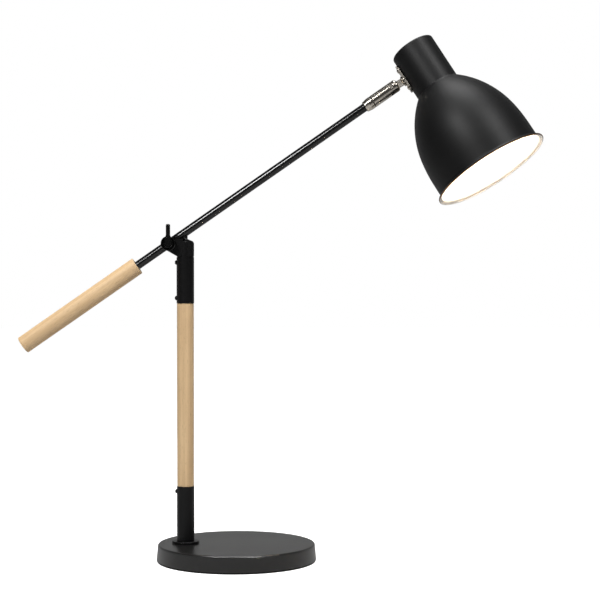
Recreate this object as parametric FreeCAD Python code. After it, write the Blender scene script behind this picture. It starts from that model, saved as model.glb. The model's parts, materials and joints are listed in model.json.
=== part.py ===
"""Counterweight balance desk lamp.

A round weighted base carries a post of two black tube sleeves with a wooden dowel
between them. A forked head on the post holds a tilting arm on one cross bolt, clamped
by a lever knob. The arm is a steel tube with a wooden counterweight on its low end and
a nickel knuckle on its high end, which carries a spun bell shade with its lampholder
and lamp. Millimetres, +Z up, +X towards the shade, origin under the base's centre.
"""
import FreeCAD, Part
import math
import os

Vector = FreeCAD.Vector
Rotation = FreeCAD.Rotation
Placement = FreeCAD.Placement

ORIGIN = Vector(0, 0, 0)
X = Vector(1, 0, 0)
Y = Vector(0, 1, 0)
Z = Vector(0, 0, 1)

# ---- clearances ----
fit = 0.05              # radial play between pieces that are pressed, glued or screwed
running_fit = 0.05      # radial play of a shaft in its bore
face_gap = 0.1          # gap between flat faces that slide on each other
core_play = 0.7         # radial play of the lead's core in a hole
past = 60.0             # how far a cutting shape runs on past what it cuts

# ---- base ----
base_diameter = 188.0
base_taper = 1.5
base_height = 20.5
cover_wall = 1.2
cover_edge_radius = 2.0
pad_thickness = 2.0
pad_inset = 0.5
weight_gap = 1.0
weight_web = 8.0
weight_rim = 12.0
hub_radius = 20.0
hub_web = 3.5
nut_pocket_radius = 12.0
channel_width = 8.0

# ---- lead and its inlet ----
lead_diameter = 5.6
core_diameter = 2.6
lead_play = 0.5
inlet_angle = 135.0
inlet_height = 8.5
inlet_bore = 6.4
inlet_neck = 8.6
inlet_flange = 11.0
inlet_flange_thickness = 1.4
inlet_depth = 3.2
inlet_run = 30.0
lead_sweep = 12.0
hub_clear = 8.0

# ---- post ----
post_inset = 34.0
stud_diameter = 10.0
stud_bore = 6.8
stud_length = 38.0
nut_across_flats = 16.0
nut_thickness = 5.0
washer_diameter = 20.0
washer_thickness = 1.2
foot_diameter = 32.0
foot_thickness = 3.0
foot_edge = 0.8
foot_spigot_length = 12.0
sleeve_diameter = 20.6
sleeve_wall = 1.2
lower_sleeve_length = 64.4
dowel_diameter = 19.8
dowel_length = 215.8
dowel_bore = 8.0
dowel_edge = 0.5
tenon_length = 24.0
upper_sleeve_length = 53.9

# ---- round-head screws ----
screw_diameter = 3.0
screw_head_diameter = 5.6
screw_head_height = 2.3
screw_length = 4.2
sleeve_screw_inset = 6.0

# ---- forked head ----
head_diameter = 20.0
head_height = 21.8
head_spigot_length = 22.0
head_shoulder_width = 6.4
head_shoulder_drop = 2.8
cheek_width = 19.0
cheek_edge = 1.2
slot_width = 12.0
slot_depth = 16.8
lead_exit_depth = 4.0
pivot_reach = 19.0
pivot_drop = 5.6
ear_radius = 8.2
nose_root = 1.0

# ---- pivot bolt and lever knob ----
bolt_diameter = 5.0
bolt_head_diameter = 10.4
bolt_head_height = 3.2
knob_washer_diameter = 13.0
knob_washer_thickness = 1.0
knob_diameter = 17.3
knob_thickness = 7.0
knob_rim = 1.1
knob_dish = 2.2
knob_hub_diameter = 9.6
knob_crown = 1.6
knob_bore_depth = 5.6
knob_nut_across_flats = 8.0
knob_nut_thickness = 4.0
lever_length = 22.8
lever_width = 4.9
lever_root_width = 8.4
lever_thickness = 4.4

# ---- arm ----
arm_angle = 34.8
rod_diameter = 10.0
rod_wall = 1.0
saddle_diameter = 14.0
saddle_wrap = 2.6
lead_bend = 9.0
counterweight_diameter = 21.0
counterweight_length = 164.0
counterweight_start = 45.7
counterweight_edge = 0.8
core_bar_diameter = 15.0
core_bar_length = 138.0
weight_bush_thickness = 6.0
rod_engagement = 19.0

# ---- knuckle ----
knuckle_start = 280.2
knuckle_diameter = 14.9
collar_length = 10.8
collar_bevel_width = 1.15
collar_bevel_length = 6.0
swivel_washer_thickness = 0.8
barrel_length = 35.2
barrel_crown = 3.0
barrel_cavity_diameter = 11.4
barrel_cavity_length = 14.5
barrel_ring_thickness = 3.0
stud_head_diameter = 10.4
stud_head_thickness = 1.5
swivel_stud_diameter = 7.9
swivel_stud_bore = 4.0
swivel_stud_engagement = 12.0
hinge_setback = 8.5
tongue_width = 7.6
tongue_thickness = 6.0
tongue_reach = 17.1
tongue_foot_diameter = 12.6
tongue_foot_height = 2.0
tongue_flare = 1.6
tongue_spigot_diameter = 5.8
tongue_slot_width = 3.2
tongue_slot_height = 1.2
hinge_screw_diameter = 5.0
hinge_tip_diameter = 3.6
hinge_tip_depth = 1.0
driver_slot_width = 0.8
driver_slot_depth = 0.8
grub_diameter = 3.0
core_gap = 1.0
shade_swivel = 14.5
shade_lean = 3.3

# ---- mounting plate ----
plate_shift = 1.5
plate_length = 37.0
plate_width = 14.0
plate_thickness = 2.0
plate_screw_spacing = 24.0
plate_screw_head_height = 1.7
plate_screw_length = 6.2

# ---- shade ----
shade_wall = 1.0
neck_diameter = 53.2
neck_length = 58.0
neck_edge_radius = 2.0
plate_from_back = 27.5
body_diameter = 130.4
body_straight_end = 22.0
body_arc_radius = 187.0
body_arc_end = 52.0
bell_arc_radius = 115.0
bell_fillet = 1.8
rim_flare = 4.9
rim_bead = 1.4
lip_height = 5.6

# ---- lampholder ----
bracket_thickness = 1.5
bracket_width = 14.0
bracket_length = 34.0
nipple_diameter = 10.0
nipple_bore = 7.0
nipple_length = 12.0
holder_nut_across_flats = 14.0
holder_nut_thickness = 3.0
holder_cap_diameter = 34.0
holder_cap_height = 14.0
holder_wall = 2.0
holder_diameter = 38.0
holder_bore = 27.8
holder_length = 28.0
holder_floor = 2.0
contact_width = 5.0
contact_thickness = 0.5
contact_rise = 3.0

# ---- lamp ----
cap_diameter = 26.4
cap_length = 24.0
cap_tip_diameter = 9.0
cap_taper = 5.0
bulb_diameter = 60.0
bulb_length = 108.0
bulb_body_length = 40.0
bulb_lip = 0.6
bulb_wall = 1.5

# ---- worked out from the sizes above ----
base_radius = base_diameter / 2
base_top_radius = base_radius - base_taper
base_slope = base_taper / (base_height - pad_thickness)
lead_radius = lead_diameter / 2
core_radius = core_diameter / 2
post_x = post_inset - base_radius
head_radius = head_diameter / 2
lead_entry = pivot_reach
sleeve_radius = sleeve_diameter / 2
sleeve_inner = sleeve_radius - sleeve_wall
spigot_radius = sleeve_inner - fit
stud_radius = stud_diameter / 2
foot_top = base_height + foot_thickness
lower_sleeve_top = foot_top + lower_sleeve_length
dowel_top = lower_sleeve_top + dowel_length
head_base = dowel_top + upper_sleeve_length
head_top = head_base + head_height
slot_floor = head_top - slot_depth
pivot = Vector(post_x - pivot_reach, 0, head_top - pivot_drop)
weight_top = base_height - cover_wall
hub_underside = weight_top - hub_web
stud_end = hub_underside - washer_thickness - nut_thickness - 0.4
lead_low = pad_thickness + lead_radius + 0.3
lead_turn = stud_end - lead_low
rod_radius = rod_diameter / 2
rod_bore_radius = rod_radius - rod_wall
bolt_radius = bolt_diameter / 2
cheek_face = cheek_width / 2
knob_back = cheek_face + knob_washer_thickness + face_gap
barrel_start = knuckle_start + collar_length + swivel_washer_thickness + face_gap
barrel_end = barrel_start + barrel_length
barrel_radius = knuckle_diameter / 2
hinge_at = barrel_end - hinge_setback
neck_radius = neck_diameter / 2
body_radius = body_diameter / 2
plate_seat = neck_radius + fit
body_radius = body_diameter / 2
body_centre = body_radius - body_arc_radius
body_sweep = math.asin((body_arc_end - body_straight_end) / body_arc_radius)
bell_centre = body_centre + (body_arc_radius - bell_arc_radius) * math.cos(body_sweep)
bell_level = body_straight_end + (body_arc_radius - bell_arc_radius) * math.sin(body_sweep)
bell_length = bell_level + math.sqrt(bell_arc_radius ** 2 - (neck_radius - bell_centre) ** 2)
shade_length = bell_length + neck_length
rim_radius = body_radius + rim_flare
axis_offset = tongue_reach + plate_thickness + plate_seat
mouth_at = shade_length - plate_from_back
bracket_radius = neck_radius - shade_wall - face_gap
bracket_inner = bracket_radius - bracket_thickness
core_run = bracket_inner - core_diameter - core_play

# ---- local frames ----
# bolt frame: origin at the pivot, Z out of the front cheek, Y up
bolt_frame = Placement(pivot, Rotation(X, 90))
# arm frame: origin at the pivot, Z along the rod to its high end, Y away from the viewer
arm_frame = Placement(pivot, Rotation(Y, 90 - arm_angle))
# knuckle frame: the arm frame turned about the rod
knuckle_frame = arm_frame.multiply(Placement(ORIGIN, Rotation(Z, -shade_swivel)))
# hinge frame: origin on the hinge screws, Z out to the plate, X along the shade to its mouth
hinge_place = Placement(Vector(0, 0, hinge_at), Rotation(Y, shade_lean))
hinge_frame = knuckle_frame.multiply(hinge_place)
# shade frame: Z along the shade's axis to its mouth, X back to the knuckle, origin level
# with the middle of the mounting plate
shade_place = Placement(Vector(-plate_shift, 0, axis_offset), Rotation(Y, 90))
shade_frame = hinge_frame.multiply(shade_place)
# where the tongue and the lead meet the neck, in the shade frame
neck_entry = Vector(0, 0, plate_shift)


# ---- helpers ----
def cylinder(radius, low, high, x=0.0, y=0.0):
    """A cylinder along Z from low to high."""
    return Part.makeCylinder(radius, high - low, Vector(x, y, low))


def tube(outer, inner, low, high, x=0.0, y=0.0):
    """A pipe along Z from low to high."""
    return cylinder(outer, low, high, x, y).cut(cylinder(inner, low - 1, high + 1, x, y))


def bar(radius, start, direction, length):
    """A cylinder from a point along any direction."""
    return Part.makeCylinder(radius, length, start, direction)


def block(x_low, x_high, y_low, y_high, z_low, z_high):
    """A box between two corners."""
    size = (x_high - x_low, y_high - y_low, z_high - z_low)
    return Part.makeBox(size[0], size[1], size[2], Vector(x_low, y_low, z_low))


def hexagon(across_flats, low, high):
    """A hexagonal bar along Z from low to high."""
    corner = across_flats / math.sqrt(3)
    points = [Vector(corner * math.cos(math.radians(60 * i)),
                     corner * math.sin(math.radians(60 * i)), low) for i in range(7)]
    return Part.Face(Part.makePolygon(points)).extrude(Vector(0, 0, high - low))


def line(start, end):
    return Part.LineSegment(start, end).toShape()


def arc(start, through, end):
    return Part.Arc(start, through, end).toShape()


def turned(points):
    """A solid of revolution about Z from (radius, height) corners."""
    corners = [Vector(r, 0, z) for r, z in points]
    return Part.Face(Part.makePolygon(corners + corners[:1])).revolve(ORIGIN, Z, 360)


def placed(shape, frame, shift=ORIGIN):
    """The shape moved from a local frame into the lamp's frame."""
    result = shape.copy()
    result.Placement = frame.multiply(Placement(shift, Rotation())).multiply(shape.Placement)
    return result


def bent_path(points, bends):
    """Straight runs joined by tangent arcs, one radius for each inner point."""
    edges = []
    start = points[0]
    for i, radius in enumerate(bends, start=1):
        corner = points[i]
        back = (points[i - 1] - corner).normalize()
        ahead = (points[i + 1] - corner).normalize()
        half = back.getAngle(ahead) / 2
        reach = radius / math.tan(half)
        middle = (back + ahead).normalize()
        centre = corner + middle * (radius / math.sin(half))
        enter = corner + back * reach
        leave = corner + ahead * reach
        edges.append(line(start, enter))
        edges.append(arc(enter, centre - middle * radius, leave))
        start = leave
    edges.append(line(start, points[-1]))
    return Part.Wire(edges)


def swept(path, radius):
    """A round bar along a path."""
    first = path.OrderedEdges[0]
    start = first.valueAt(first.FirstParameter)
    heading = first.tangentAt(first.FirstParameter)
    ring = Part.Wire(Part.makeCircle(radius, start, heading))
    return path.makePipeShell([ring], True, False)


def round_screw(head_radius, head_height, shank_radius, length):
    """A screw with a domed head on Z = 0 and its shank below."""
    dome = (head_radius ** 2 + head_height ** 2) / (2 * head_height)
    top = Vector(0, 0, head_height)
    rim = Vector(head_radius, 0, 0)
    rise = math.asin(head_radius / dome) / 2
    through = Vector(dome * math.sin(rise), 0, head_height - dome + dome * math.cos(rise))
    edges = [line(ORIGIN, rim), arc(rim, through, top), line(top, ORIGIN)]
    head = Part.Face(Part.Wire(edges)).revolve(ORIGIN, Z, 360)
    return head.fuse(cylinder(shank_radius, -length, 0))


# ---- base ----
def base_outline(inset, top):
    """Half outline of the base: radius shrinks with height as the side tapers."""
    low = base_radius - inset
    high = low - base_slope * (top - pad_thickness)
    return [(0, pad_thickness), (low, pad_thickness), (high, top), (0, top)]


def inlet_frame():
    """Origin on the cover's side wall at the inlet, Z pointing out."""
    angle = math.radians(inlet_angle)
    reach = base_radius - base_slope * (inlet_height - pad_thickness)
    centre = Vector(reach * math.cos(angle), reach * math.sin(angle), inlet_height)
    return Placement(centre, Rotation(Z, Vector(math.cos(angle), math.sin(angle), 0)))


def base_cover():
    outer = turned(base_outline(0, base_height))
    rim = [e for e in outer.Edges if abs(e.BoundBox.ZMin - base_height) < 1e-6
           and e.Curve.TypeId == "Part::GeomCircle"]
    outer = outer.makeFillet(cover_edge_radius, rim)
    cover = outer.cut(turned(base_outline(cover_wall, weight_top)))
    cover = cover.cut(cylinder(stud_radius + 2 * fit, 0, base_height + 1, post_x))
    return cover.cut(placed(cylinder(inlet_neck / 2 + fit, -weight_rim, past), inlet_frame()))


def base_weight():
    radius = base_top_radius - cover_wall - weight_gap
    weight = cylinder(radius, pad_thickness, weight_top)
    recess = cylinder(radius - weight_rim, pad_thickness - 1, weight_top - weight_web)
    recess = recess.cut(cylinder(hub_radius, 0, base_height, post_x))
    weight = weight.cut(recess)
    weight = weight.cut(cylinder(nut_pocket_radius, 0, hub_underside, post_x))
    weight = weight.cut(cylinder(stud_radius + 2 * fit, 0, base_height, post_x))
    channel_top = inlet_height + channel_width / 2
    half = channel_width / 2
    out = placed(block(-past, past, -half, half, -weight_rim * 3, past), inlet_frame())
    out = out.common(cylinder(base_radius, 0, channel_top))
    inner = block(post_x - half, post_x + half, 0, hub_radius + half, 0, lead_low + half)
    # room for the bush's inner flange
    pocket = cylinder(inlet_flange / 2 + face_gap, -inlet_depth - face_gap, past)
    return weight.cut(out).cut(inner).cut(placed(pocket, inlet_frame()))


def base_pad():
    pad = cylinder(base_radius - pad_inset, 0, pad_thickness)
    foot = [e for e in pad.Edges if e.BoundBox.ZMax < 1e-6]
    return pad.makeChamfer(pad_thickness / 4, foot)


def cord_bush():
    """A flanged grommet in the cover's side wall."""
    bore = inlet_bore / 2
    neck = inlet_neck / 2
    flange = inlet_flange / 2
    inside = -inlet_depth
    profile = [(bore, inside), (flange, inside), (flange, 0), (flange, inlet_flange_thickness * 0.6),
               (flange - 0.8, inlet_flange_thickness), (bore, inlet_flange_thickness)]
    bush = placed(turned(profile), inlet_frame())
    groove = turned(base_outline(-fit, base_height)).cut(turned(base_outline(cover_wall + fit, weight_top)))
    groove = groove.cut(placed(cylinder(neck, -past, past), inlet_frame()))
    return bush.cut(groove)


def base_washer():
    top = hub_underside
    return tube(washer_diameter / 2, stud_radius + 2 * fit, top - washer_thickness, top, post_x)


def base_nut():
    top = hub_underside - washer_thickness
    nut = hexagon(nut_across_flats, top - nut_thickness, top)
    nut = nut.cut(cylinder(stud_radius + fit, 0, base_height))
    return placed(nut, Placement(Vector(post_x, 0, 0), Rotation()))


# ---- post ----
def post_stud():
    return tube(stud_radius, stud_bore / 2, stud_end, stud_end + stud_length, post_x)


def post_foot():
    foot = cylinder(foot_diameter / 2, base_height, foot_top, post_x)
    rim = [e for e in foot.Edges if abs(e.BoundBox.ZMin - foot_top) < 1e-6]
    foot = foot.makeFillet(foot_edge, rim)
    foot = foot.fuse(cylinder(spigot_radius, foot_top, foot_top + foot_spigot_length, post_x))
    return foot.cut(cylinder(stud_radius + fit, 0, foot_top + past, post_x)).removeSplitter()


def screw_heights():
    """Heights of the three screws and of the pieces that they bite into."""
    return [lower_sleeve_top - sleeve_screw_inset,
            dowel_top + sleeve_screw_inset,
            head_base - sleeve_screw_inset]


def screw_holes(radius):
    holes = [bar(radius, Vector(post_x - sleeve_radius - 1, 0, z), X, sleeve_wall + screw_length + 1)
             for z in screw_heights()]
    return holes[0].fuse(holes[1:])


def sleeve(low, high):
    body = tube(sleeve_radius, sleeve_inner, low, high, post_x)
    return body.cut(screw_holes(screw_diameter / 2 + fit))


def lower_sleeve():
    return sleeve(foot_top, lower_sleeve_top)


def upper_sleeve():
    return sleeve(dowel_top, head_base)


def post_dowel():
    """Turned dowel: full width between the sleeves, a tenon inside each of them."""
    full = dowel_diameter / 2
    low = lower_sleeve_top
    high = dowel_top
    profile = [(0, low - tenon_length), (spigot_radius, low - tenon_length), (spigot_radius, low),
               (full - dowel_edge, low), (full, low + dowel_edge), (full, high - dowel_edge),
               (full - dowel_edge, high), (spigot_radius, high), (spigot_radius, high + tenon_length),
               (0, high + tenon_length)]
    dowel = placed(turned(profile), Placement(Vector(post_x, 0, 0), Rotation()))
    dowel = dowel.cut(cylinder(dowel_bore / 2, 0, head_top, post_x))
    return dowel.cut(screw_holes(screw_diameter / 2 + fit))


def sleeve_screws():
    screw = round_screw(screw_head_diameter / 2, screw_head_height, screw_diameter / 2,
                        sleeve_wall + screw_length - fit)
    sides = [placed(screw, Placement(Vector(post_x - sleeve_radius, 0, z), Rotation(Y, -90)))
             for z in screw_heights()]
    # each domed head sits against the round sleeve
    column = cylinder(sleeve_radius, 0, head_top, post_x)
    column = column.cut(screw_holes(screw_diameter / 2))
    return Part.makeCompound([side.cut(column) for side in sides])


# ---- forked head ----
def head_nose():
    """Side outline of the two cheeks: an ear round the bolt with a slanted underside."""
    root = Vector(post_x - head_radius + nose_root, 0, head_base + nose_root)
    to_pivot = pivot - root
    spread = math.asin(ear_radius / to_pivot.Length)
    slant = math.atan2(to_pivot.z, to_pivot.x) + spread
    reach = math.sqrt(to_pivot.Length ** 2 - ear_radius ** 2)
    low = root + Vector(math.cos(slant), 0, math.sin(slant)) * reach
    rise = math.asin(pivot_drop / ear_radius)
    high = pivot + Vector(math.cos(rise), 0, math.sin(rise)) * ear_radius
    far = pivot + Vector(-1, 0, 0.3).normalize() * ear_radius
    right = Vector(post_x, 0, head_top)
    below = Vector(post_x, 0, head_base + nose_root)
    outline = Part.Wire([line(root, low), arc(low, far, high), line(high, right),
                         line(right, below), line(below, root)])
    plate = Part.Face(outline)
    plate.translate(Vector(0, -cheek_face, 0))
    nose = plate.extrude(Vector(0, cheek_width, 0))
    faces = [-cheek_face, cheek_face]
    edges = [e for e in nose.Edges for y in faces
             if abs(e.BoundBox.YMin - y) < 1e-6 and abs(e.BoundBox.YMax - y) < 1e-6
             and e.BoundBox.XMin < post_x - 1]
    keep = [e for e in edges if abs(e.BoundBox.ZMax - head_top) > 1e-6
            and e.BoundBox.ZMax > head_base + nose_root + 1e-6]
    return nose.makeFillet(cheek_edge, keep)


def head_fork():
    """The casting: a round column with a spigot below, and a slot between two cheeks."""
    flat = head_radius - head_shoulder_width
    brow = head_top - head_shoulder_drop
    profile = [(0, head_base), (head_radius, head_base), (head_radius, brow - 0.8),
               (head_radius - 0.6, brow), (flat, head_top), (0, head_top)]
    column = placed(turned(profile), Placement(Vector(post_x, 0, 0), Rotation()))
    head = column.fuse(head_nose())
    head = head.fuse(cylinder(spigot_radius, head_base - head_spigot_length, head_base, post_x))
    half = slot_width / 2
    reach = pivot_reach + ear_radius + 5
    head = head.cut(block(post_x - reach, post_x + reach, -half, half, slot_floor, head_top + 5))
    head = head.cut(block(post_x - reach, post_x - head_radius + 0.4, -half, half,
                          head_base - 5, slot_floor))
    head = head.cut(cylinder(lead_radius + lead_play, head_base - past, head_top, post_x))
    head = head.cut(placed(cylinder(bolt_radius + running_fit, -past, past), bolt_frame))
    return head.cut(screw_holes(screw_diameter / 2 + fit)).removeSplitter()


# ---- pivot bolt and lever knob, in the bolt frame ----
def pivot_bolt():
    thread_end = knob_back + knob_bore_depth - 2 * face_gap
    bolt = round_screw(bolt_head_diameter / 2, bolt_head_height, bolt_radius,
                       cheek_face + thread_end)
    bolt = placed(bolt, Placement(Vector(0, 0, -cheek_face), Rotation(X, 180)))
    return placed(bolt, bolt_frame)


def knob_washer():
    washer = tube(knob_washer_diameter / 2, bolt_radius + 2 * fit, cheek_face,
                  cheek_face + knob_washer_thickness)
    return placed(washer, bolt_frame)


def knob_nut():
    nut = hexagon(knob_nut_across_flats, knob_back, knob_back + knob_nut_thickness)
    nut = nut.cut(cylinder(bolt_radius + running_fit, 0, knob_back + knob_thickness))
    return placed(nut, bolt_frame)


def clamp_knob():
    """A dished round knob with one lever standing up from its hub."""
    front = knob_back + knob_thickness
    radius = knob_diameter / 2
    hub = knob_hub_diameter / 2
    valley = front - knob_dish
    profile = [(0, knob_back), (radius - 0.5, knob_back), (radius, knob_back + 0.5),
               (radius, front - 0.4), (radius - 0.4, front), (radius - knob_rim, front),
               (radius - knob_rim - 0.3, valley), (hub, front), (hub - 1.0, front + knob_crown),
               (0, front + knob_crown)]
    knob = turned(profile)
    tip = lever_width / 2
    root = lever_root_width / 2
    start = Vector(-root, hub * 0.5, 0)
    left_top = Vector(-tip, lever_length - tip * 0.5, 0)
    crest = Vector(0, lever_length, 0)
    right_top = Vector(tip, lever_length - tip * 0.5, 0)
    waist = radius + 1.5
    outline = Part.Wire([line(start, Vector(-tip, waist, 0)), line(Vector(-tip, waist, 0), left_top),
                         arc(left_top, crest, right_top), line(right_top, Vector(tip, waist, 0)),
                         line(Vector(tip, waist, 0), Vector(root, hub * 0.5, 0)),
                         line(Vector(root, hub * 0.5, 0), start)])
    lever = Part.Face(outline).extrude(Vector(0, 0, lever_thickness))
    flats = [e for e in lever.Edges if e.BoundBox.ZMax - e.BoundBox.ZMin < 1e-6
             and e.BoundBox.YMax > hub]
    lever = lever.makeFillet(lever_thickness / 5, flats)
    lever = placed(lever, Placement(Vector(0, 0, front + knob_crown - lever_thickness), Rotation()))
    knob = knob.fuse(lever)
    pocket = hexagon(knob_nut_across_flats + 2 * fit, 0, knob_back + knob_nut_thickness + fit)
    knob = knob.cut(pocket).cut(cylinder(bolt_radius + 4 * fit, 0, knob_back + knob_bore_depth))
    return placed(knob, bolt_frame)


# ---- lead, held by the lamp from its inlet to the lampholder ----
def lead_rise():
    """Height at which the lead leaves the post's bore for the slot."""
    return slot_floor - lead_exit_depth


def lead_joint():
    """Distance along the rod at which the bend in the lead ends."""
    turn = math.radians(90 - arm_angle)
    return lead_entry / math.cos(math.radians(arm_angle)) + lead_bend * math.tan(turn / 2) + 4.0


def post_lead():
    inlet = inlet_frame()
    wall = inlet.multVec(Vector(0, 0, -inlet_depth - 0.4))
    inside = inlet.multVec(Vector(0, 0, -inlet_depth - inlet_run))
    inside.z = inlet_height - 1.0
    near = Vector(post_x, hub_radius + hub_clear, lead_low)
    under = Vector(post_x, 0, lead_low)
    top = Vector(post_x, 0, lead_rise())
    path = bent_path([wall, inside, near, under, top], [lead_sweep, lead_sweep, lead_turn])
    return swept(path, lead_radius)


def pivot_lead_path():
    up = Vector(post_x, 0, lead_rise())
    crossing = arm_frame.multVec(Vector(0, 0, lead_entry / math.cos(math.radians(arm_angle))))
    end = arm_frame.multVec(Vector(0, 0, lead_joint()))
    return bent_path([up, crossing, end], [lead_bend])


def pivot_lead():
    """The short stretch that shows between the slot and the rod."""
    return swept(pivot_lead_path(), lead_radius)


def arm_lead():
    """The lead in the rod, then its core through the swivel stud."""
    strip = knuckle_start + collar_length - swivel_stud_engagement - 4
    sheath = cylinder(lead_radius, lead_joint(), strip)
    core = cylinder(core_radius, strip, hinge_at - core_gap)
    return placed(sheath.fuse(core), arm_frame)


def shade_lead():
    """The core through the tongue, back along the bracket and down the nipple."""
    radius = core_radius
    bend = 2.2 * core_diameter
    shelf = -bracket_length / 2
    high = shelf - holder_nut_thickness - core_diameter - 0.5
    points = [Vector(axis_offset - core_gap, 0, plate_shift), Vector(core_run, 0, plate_shift),
              Vector(core_run, 0, high), Vector(0, 0, high), Vector(0, 0, shelf + nipple_length / 2)]
    bends = [bend / 2, bend / 3, bend / 3]
    return placed(swept(bent_path(points, bends), radius), shade_frame)


# ---- arm, in the arm frame ----
def rod_low_end():
    return -(counterweight_start + weight_bush_thickness + rod_engagement)


def arm_rod():
    rod = tube(rod_radius, rod_bore_radius, rod_low_end(), knuckle_start + collar_length)
    rod = rod.cut(bar(bolt_radius + running_fit, Vector(0, -past, 0), Y, 2 * past))
    entry = swept(pivot_lead_path(), lead_radius + lead_play)
    return placed(rod, arm_frame).cut(entry)


def saddle_washers():
    """Two washers hollowed to sit on the rod, flat against the cheeks."""
    low = rod_radius - saddle_wrap
    high = slot_width / 2 - face_gap
    disc = bar(saddle_diameter / 2, Vector(0, low, 0), Y, high - low)
    disc = disc.cut(bar(bolt_radius + 2 * fit, ORIGIN, Y, past))
    disc = disc.cut(cylinder(rod_radius + fit, -saddle_diameter, saddle_diameter))
    other = disc.mirror(ORIGIN, Y)
    return Part.makeCompound([placed(disc, arm_frame), placed(other, arm_frame)])


def counterweight():
    """Turned wooden cylinder, bored for its steel bar."""
    high = -counterweight_start
    low = high - counterweight_length
    wood = cylinder(counterweight_diameter / 2, low, high)
    ends = [e for e in wood.Edges if e.BoundBox.ZMax - e.BoundBox.ZMin < 1e-6]
    wood = wood.makeFillet(counterweight_edge, ends)
    depth = weight_bush_thickness + core_bar_length + 1
    return placed(wood.cut(cylinder(core_bar_diameter / 2 + fit, high - depth, high + 1)), arm_frame)


def weight_core():
    high = -counterweight_start - weight_bush_thickness
    core = cylinder(core_bar_diameter / 2, high - core_bar_length, high)
    return placed(core.cut(cylinder(rod_radius + fit, high - rod_engagement - 1, high + 1)), arm_frame)


def weight_bush():
    high = -counterweight_start
    ring = tube(core_bar_diameter / 2, rod_radius + fit, high - weight_bush_thickness, high)
    return placed(ring, arm_frame)


# ---- knuckle ----
def grub_hole(radius):
    middle = knuckle_start + (collar_bevel_length + collar_length) / 2
    return bar(radius, Vector(rod_radius, 0, middle), X, knuckle_diameter)


def knuckle_collar():
    high = knuckle_start + collar_length
    profile = [(rod_radius + fit, knuckle_start),
               (barrel_radius - collar_bevel_width, knuckle_start),
               (barrel_radius, knuckle_start + collar_bevel_length), (barrel_radius, high - 0.3),
               (barrel_radius - 0.3, high), (rod_radius + fit, high)]
    return placed(turned(profile).cut(grub_hole(grub_diameter / 2 + fit)), arm_frame)


def collar_screw():
    middle = knuckle_start + (collar_bevel_length + collar_length) / 2
    screw = bar(grub_diameter / 2, Vector(rod_radius + fit, 0, middle), X,
                barrel_radius - rod_radius - 3 * fit)
    return placed(screw, arm_frame)


def swivel_washer():
    low = knuckle_start + collar_length
    ring = tube(barrel_radius - 0.25, swivel_stud_diameter / 2 + fit, low,
                low + swivel_washer_thickness)
    return placed(ring, arm_frame)


def swivel_stud():
    """Hollow shouldered stud: pressed into the rod, its head inside the barrel."""
    low = knuckle_start + collar_length - swivel_stud_engagement
    head_low = barrel_start + barrel_ring_thickness + face_gap
    head_high = head_low + stud_head_thickness
    stud = cylinder(swivel_stud_diameter / 2, low, head_high)
    stud = stud.fuse(cylinder(stud_head_diameter / 2, head_low, head_high))
    return placed(stud.cut(cylinder(swivel_stud_bore / 2, low - 1, head_high + 1)), arm_frame)


def knuckle_barrel():
    """Round barrel: hollow below for the swivel, forked above for the tongue."""
    barrel = cylinder(barrel_radius, barrel_start, barrel_end)
    crown = [e for e in barrel.Edges if abs(e.BoundBox.ZMin - barrel_end) < 1e-6]
    foot = [e for e in barrel.Edges if abs(e.BoundBox.ZMax - barrel_start) < 1e-6]
    barrel = barrel.makeFillet(barrel_crown, crown)
    foot = [e for e in barrel.Edges if abs(e.BoundBox.ZMax - barrel_start) < 1e-6]
    barrel = barrel.makeChamfer(0.3, foot)
    cavity = cylinder(barrel_cavity_diameter / 2, barrel_start - 1, barrel_start + barrel_cavity_length)
    slot_half = tongue_thickness / 2 + face_gap
    slot_low = hinge_at - tongue_width / 2 - 0.5
    slot = block(-barrel_radius, barrel_radius, -slot_half, slot_half, slot_low, barrel_end + 1)
    barrel = barrel.cut(cavity).cut(slot)
    barrel = barrel.cut(cylinder(core_radius + lead_play, barrel_start, barrel_end))
    barrel = barrel.cut(bar(hinge_screw_diameter / 2 + fit, Vector(0, -past, hinge_at), Y, 2 * past))
    return placed(barrel, knuckle_frame)


def barrel_ring():
    ring = tube(barrel_cavity_diameter / 2 - fit, swivel_stud_diameter / 2 + running_fit,
                barrel_start, barrel_start + barrel_ring_thickness)
    return placed(ring, knuckle_frame)


def hinge_screws():
    """Two slotted screws, their plain tips in the sides of the tongue."""
    tip = tongue_thickness / 2 - hinge_tip_depth
    seat = tongue_thickness / 2 + face_gap
    end = math.sqrt(barrel_radius ** 2 - (hinge_screw_diameter / 2) ** 2) - 0.1
    half = driver_slot_width / 2
    screw = cylinder(hinge_tip_diameter / 2, tip, seat)
    screw = screw.fuse(cylinder(hinge_screw_diameter / 2, seat, end))
    screw = screw.cut(block(-half, half, -10, 10, end - driver_slot_depth, end + 1))
    sides = [placed(screw, Placement(Vector(0, 0, hinge_at), Rotation(X, angle)))
             for angle in (90, -90)]
    return Part.makeCompound([placed(side, knuckle_frame) for side in sides])


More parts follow.
